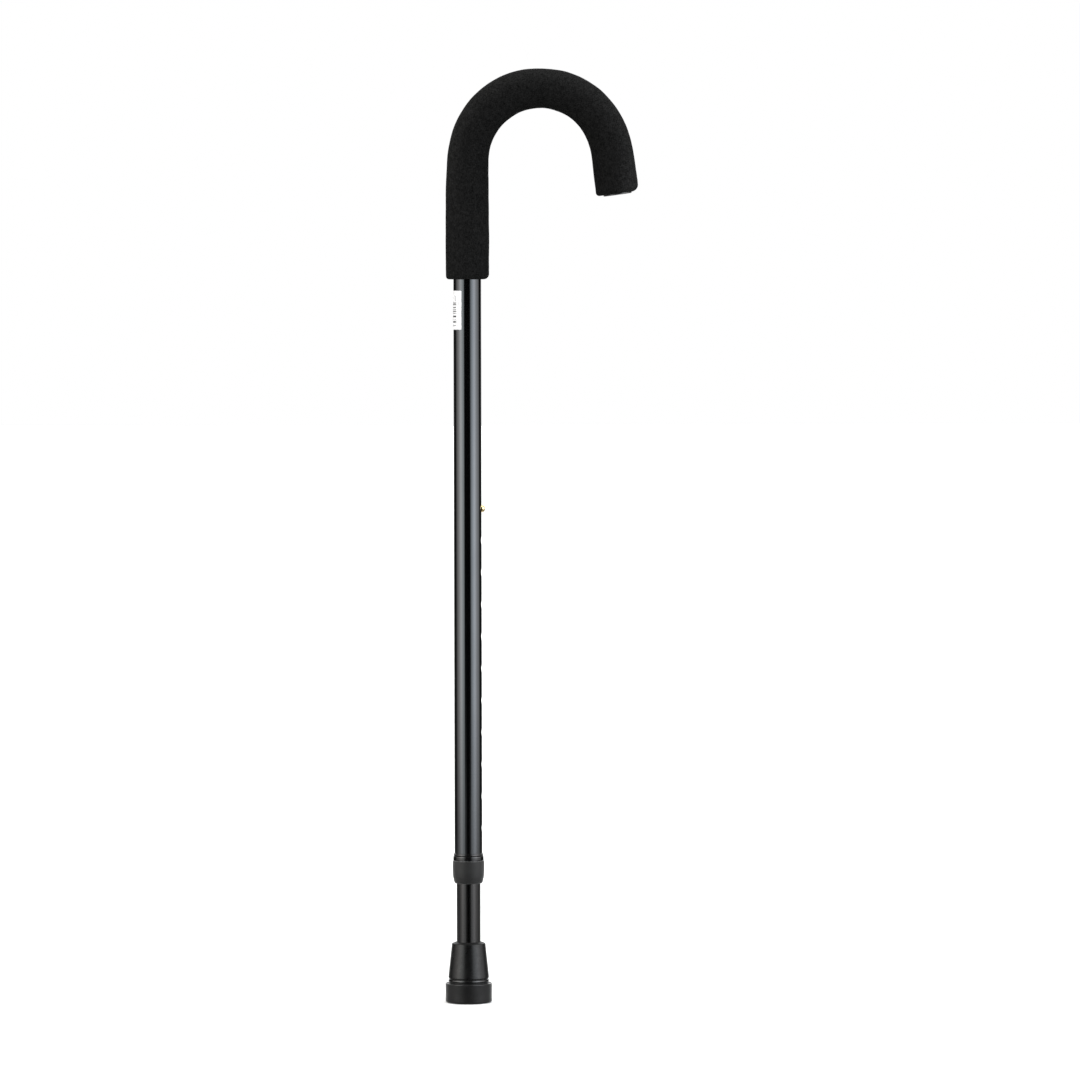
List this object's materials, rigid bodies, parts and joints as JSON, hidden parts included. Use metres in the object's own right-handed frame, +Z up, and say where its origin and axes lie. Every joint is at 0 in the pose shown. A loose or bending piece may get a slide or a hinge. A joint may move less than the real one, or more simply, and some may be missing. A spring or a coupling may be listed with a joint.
{
  "type": "walking cane",
  "caption": "Height-adjustable aluminium walking cane with a foam-covered crook handle, snap button, threaded locking collar and a single rubber tip.",
  "frame": {"origin": "centre of the rubber tip's base, where the cane meets the floor", "axes": "+Z up along the shaft, +X the way the crook opens and the row of adjustment holes faces, +Y to the side"},
  "size_m": [0.1537, 0.0372, 0.7405],
  "materials": {
    "black_tube": "gloss",
    "black_tube_lower": "gloss",
    "foam": "matte",
    "end_plug": "gloss",
    "label_paper": "satin",
    "collar_plastic": "gloss",
    "clamp_plastic": "satin",
    "nut_plastic": "satin",
    "button_brass": "polished",
    "spring_steel": "satin",
    "tip_rubber": "satin",
    "washer_steel": "satin"
  },
  "bodies": {
    "lower_shaft": {"lower_tube": "black_tube_lower", "rubber_tip": "tip_rubber", "tip_washer": "washer_steel", "snap_spring": "spring_steel"},
    "upper_shaft": {"upper_tube": "black_tube", "foam_grip": "foam", "handle_end_plug": "end_plug", "label": "label_paper", "collar_bushing": "collar_plastic"},
    "snap_button": {"snap_button": "button_brass"},
    "clamp_ring": {"clamp_ring": "clamp_plastic"},
    "lock_nut": {"lock_nut": "nut_plastic"}
  },
  "joints": [
    {"name": "height_slide", "type": "slide", "parent": "lower_shaft", "child": "upper_shaft", "axis": [0, 0, 1], "range_m": [0, 0.254], "deforming": ["snap_button"]},
    {"name": "button_press", "type": "slide", "parent": "lower_shaft", "child": "snap_button", "axis": [-1, 0, 0], "range_m": [0, 0.0042], "stiffness_N_per_m": 2500, "springref_m": -0.002, "deforming": ["snap_spring"]},
    {"name": "nut_travel", "type": "slide", "parent": "upper_shaft", "child": "clamp_ring", "axis": [0, 0, -1], "range_m": [0, 0.00605]},
    {"name": "lock_nut_turn", "type": "hinge", "parent": "clamp_ring", "child": "lock_nut", "pos_m": [0, 0, 0.1], "axis": [0, 0, -1], "range_deg": [0, 1080]}
  ],
  "couplings": [
    {"joint": "nut_travel", "follows": "lock_nut_turn", "m_per_rad": 0.00031831}
  ]
}
